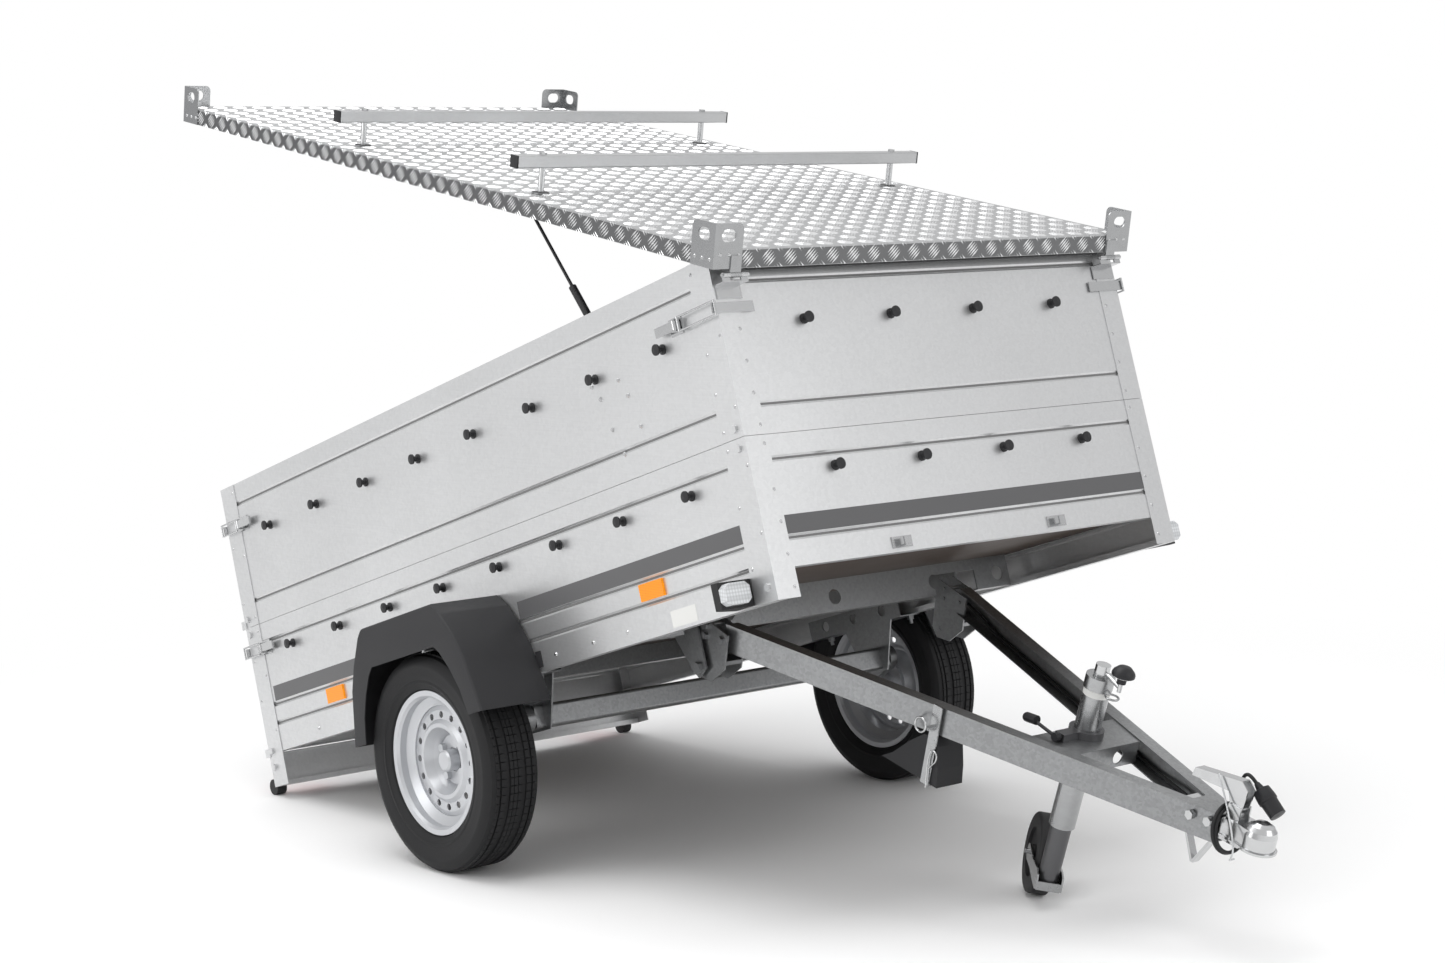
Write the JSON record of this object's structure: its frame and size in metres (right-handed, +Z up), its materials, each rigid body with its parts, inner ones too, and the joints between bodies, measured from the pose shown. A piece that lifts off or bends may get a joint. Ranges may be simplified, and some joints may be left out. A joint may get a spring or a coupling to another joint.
{
  "type": "tipping box trailer",
  "caption": "Single-axle tipping box trailer of galvanised sheet with raised sides, a hinged tread-plate lid, roof bars and a V drawbar with jockey wheel.",
  "frame": {"origin": "on the ground under the middle of the overall length and width, in the tipped resting pose", "axes": "+X towards the coupling, +Y to the left of the towing direction, +Z up"},
  "size_m": [3.3455, 1.676, 2.0025],
  "materials": {
    "zinc": "hot-dip galvanised sheet, faint spangle",
    "zinc_plated": "bright zinc plate",
    "tread_plate": "five-bar tread aluminium",
    "aluminium": "extruded aluminium",
    "tyre": "tyre rubber",
    "rim": "silver paint",
    "black_plastic": "matt black",
    "rubber": "black rubber",
    "lens": "clear lens",
    "orange": "amber reflector",
    "plywood": "film-faced plywood",
    "steel": "bare steel"
  },
  "bodies": {
    "box": {"floor_panel": "plywood", "front_board": "zinc", "raised_front_board": "zinc", "corner_posts": "zinc", "rear_valance": "zinc", "cross_members": "zinc", "hinge_hangers": "zinc", "axle_mounts": "zinc", "axle_beam": "zinc", "tarp_knobs": "black_plastic", "rubber_mounts": "rubber", "lamp_lenses": "lens", "side_reflectors": "orange", "box_fittings": "zinc_plated", "lid_mounts": "zinc_plated", "side_board_left": "zinc", "side_board_right": "zinc", "raised_side_left": "zinc", "raised_side_right": "zinc", "mudguard_left": "black_plastic", "mudguard_right": "black_plastic"},
    "lid": {"lid_tray": "tread_plate", "lid_brackets": "zinc_plated", "roof_bars": "aluminium", "bar_mounts": "zinc_plated"},
    "spring_cylinder_pair": {"spring_cylinders": "black_plastic"},
    "spring_rod_pair": {"spring_rods": "black_plastic"},
    "tailgate": {"tailgate_lower": "zinc"},
    "raised_tailgate": {"tailgate_raised": "zinc"},
    "wheel_left": {"tyre_left": "tyre", "rim_left": "rim"},
    "wheel_right": {"tyre_right": "tyre", "rim_right": "rim"},
    "drawbar": {"hinge_plates": "zinc", "gusset_plate": "zinc", "coupling_body": "zinc_plated", "coupling_bolts": "zinc_plated", "jockey_clamp": "steel", "chock_holder": "zinc_plated", "drawbar_fittings": "zinc_plated", "wiring_cable": "rubber", "cable_coil": "rubber", "connector_plug": "black_plastic", "breakaway_cable": "steel", "drawbar_arm_left": "zinc", "drawbar_arm_right": "zinc"},
    "handle": {"coupling_handle": "zinc_plated"},
    "clamp_screw": {"clamp_lever": "steel"},
    "outer_tube": {"jockey_tube": "zinc_plated"},
    "crank": {"jockey_crank": "zinc_plated"},
    "nut": {"jockey_nut": "steel"},
    "fork": {"jockey_fork": "zinc_plated"},
    "caster": {"jockey_wheel": "rubber"},
    "chock": {"wheel_chock": "black_plastic"},
    "latch_rear_lower_left_lever": {"latch_rear_lower_left": "zinc_plated"},
    "latch_rear_lower_right_lever": {"latch_rear_lower_right": "zinc_plated"},
    "latch_rear_upper_left_lever": {"latch_rear_upper_left": "zinc_plated"},
    "latch_rear_upper_right_lever": {"latch_rear_upper_right": "zinc_plated"},
    "latch_front_left_lever": {"latch_front_left": "zinc_plated"},
    "latch_front_right_lever": {"latch_front_right": "zinc_plated"}
  },
  "joints": [
    {"name": "lid_hinge", "type": "hinge", "parent": "box", "child": "lid", "pos_m": [0.69471, 0, 1.45696], "axis": [0, -1, 0], "range_deg": [0, 26.4]},
    {"name": "spring_pivot", "type": "hinge", "parent": "box", "child": "spring_cylinder_pair", "pos_m": [0.30373, 0, 1.17049], "axis": [0, -1, 0], "range_deg": [0, 36.34]},
    {"name": "spring_stroke", "type": "slide", "parent": "spring_cylinder_pair", "child": "spring_rod_pair", "axis": [0.6562, 0, -0.7546], "range_m": [0, 0.2058]},
    {"name": "tailgate_hinge", "type": "hinge", "parent": "box", "child": "tailgate", "pos_m": [-1.40143, 0, 0.11874], "axis": [0, -1, 0], "range_deg": [0, 90]},
    {"name": "raised_tailgate_hinge", "type": "hinge", "parent": "box", "child": "raised_tailgate", "pos_m": [-1.503, 0, 0.47297], "axis": [0, -1, 0], "range_deg": [0, 90]},
    {"name": "wheel_left_spin", "type": "hinge", "parent": "box", "child": "wheel_left", "pos_m": [-0.28648, 0.735, 0.272], "axis": [0, 1, 0], "continuous": true},
    {"name": "wheel_right_spin", "type": "hinge", "parent": "box", "child": "wheel_right", "pos_m": [-0.28648, -0.735, 0.272], "axis": [0, 1, 0], "continuous": true},
    {"name": "drawbar_tip", "type": "hinge", "parent": "box", "child": "drawbar", "pos_m": [0.31601, 0, 0.52903], "axis": [0, -1, 0], "range_deg": [0, 31.9]},
    {"name": "coupling_handle_lift", "type": "hinge", "parent": "drawbar", "child": "handle", "pos_m": [1.58389, 0, 0.31135], "axis": [0, 1, 0], "range_deg": [0, 45]},
    {"name": "clamp_lever_turn", "type": "hinge", "parent": "drawbar", "child": "clamp_screw", "pos_m": [1.15045, -0.092, 0.42359], "axis": [0, 1, 0], "range_deg": [0, 120]},
    {"name": "jockey_tube_height", "type": "slide", "parent": "drawbar", "child": "outer_tube", "axis": [0.3371, 0, 0.9415], "range_m": [-0.08, 0.12]},
    {"name": "crank_turn", "type": "hinge", "parent": "outer_tube", "child": "crank", "pos_m": [1.1976, 0, 0.55331], "axis": [0.3371, 0, 0.9415], "range_deg": [0, 7200]},
    {"name": "jockey_screw", "type": "slide", "parent": "outer_tube", "child": "nut", "axis": [0.3371, 0, 0.9415], "range_m": [0, 0.1]},
    {"name": "jockey_swivel", "type": "hinge", "parent": "nut", "child": "fork", "pos_m": [1.02232, 0, 0.06375], "axis": [0.3371, 0, 0.9415], "continuous": true},
    {"name": "jockey_wheel_spin", "type": "hinge", "parent": "fork", "child": "caster", "pos_m": [0.93107, 0.07573, 0.09643], "axis": [0.5796, 0.788, -0.2075], "continuous": true},
    {"name": "chock_slide", "type": "slide", "parent": "drawbar", "child": "chock", "axis": [0, 1, 0], "range_m": [0, 0.1]},
    {"name": "latch_rear_lower_left_lever_turn", "type": "hinge", "parent": "box", "child": "latch_rear_lower_left_lever", "pos_m": [-1.38584, 0.648, 0.42282], "axis": [-0.2756, 0, 0.9613], "range_deg": [0, 120]},
    {"name": "latch_rear_lower_right_lever_turn", "type": "hinge", "parent": "box", "child": "latch_rear_lower_right_lever", "pos_m": [-1.38584, -0.648, 0.42282], "axis": [0.2756, 0, -0.9613], "range_deg": [0, 120]},
    {"name": "latch_rear_upper_left_lever_turn", "type": "hinge", "parent": "box", "child": "latch_rear_upper_left_lever", "pos_m": [-1.48396, 0.648, 0.76503], "axis": [-0.2756, 0, 0.9613], "range_deg": [0, 120]},
    {"name": "latch_rear_upper_right_lever_turn", "type": "hinge", "parent": "box", "child": "latch_rear_upper_right_lever", "pos_m": [-1.48396, -0.648, 0.76503], "axis": [0.2756, 0, -0.9613], "range_deg": [0, 120]},
    {"name": "latch_front_left_lever_turn", "type": "hinge", "parent": "box", "child": "latch_front_left_lever", "pos_m": [0.54248, 0.648, 1.34714], "axis": [0.2756, 0, -0.9613], "range_deg": [0, 120]},
    {"name": "latch_front_right_lever_turn", "type": "hinge", "parent": "box", "child": "latch_front_right_lever", "pos_m": [0.54248, -0.648, 1.34714], "axis": [-0.2756, 0, 0.9613], "range_deg": [0, 120]}
  ],
  "couplings": [
    {"joint": "spring_pivot", "follows": "lid_hinge", "ratio": 1.3652},
    {"joint": "spring_stroke", "follows": "lid_hinge", "m_per_rad": 0.44446},
    {"joint": "crank_turn", "follows": "jockey_screw", "rad_per_m": 1256.6}
  ]
}
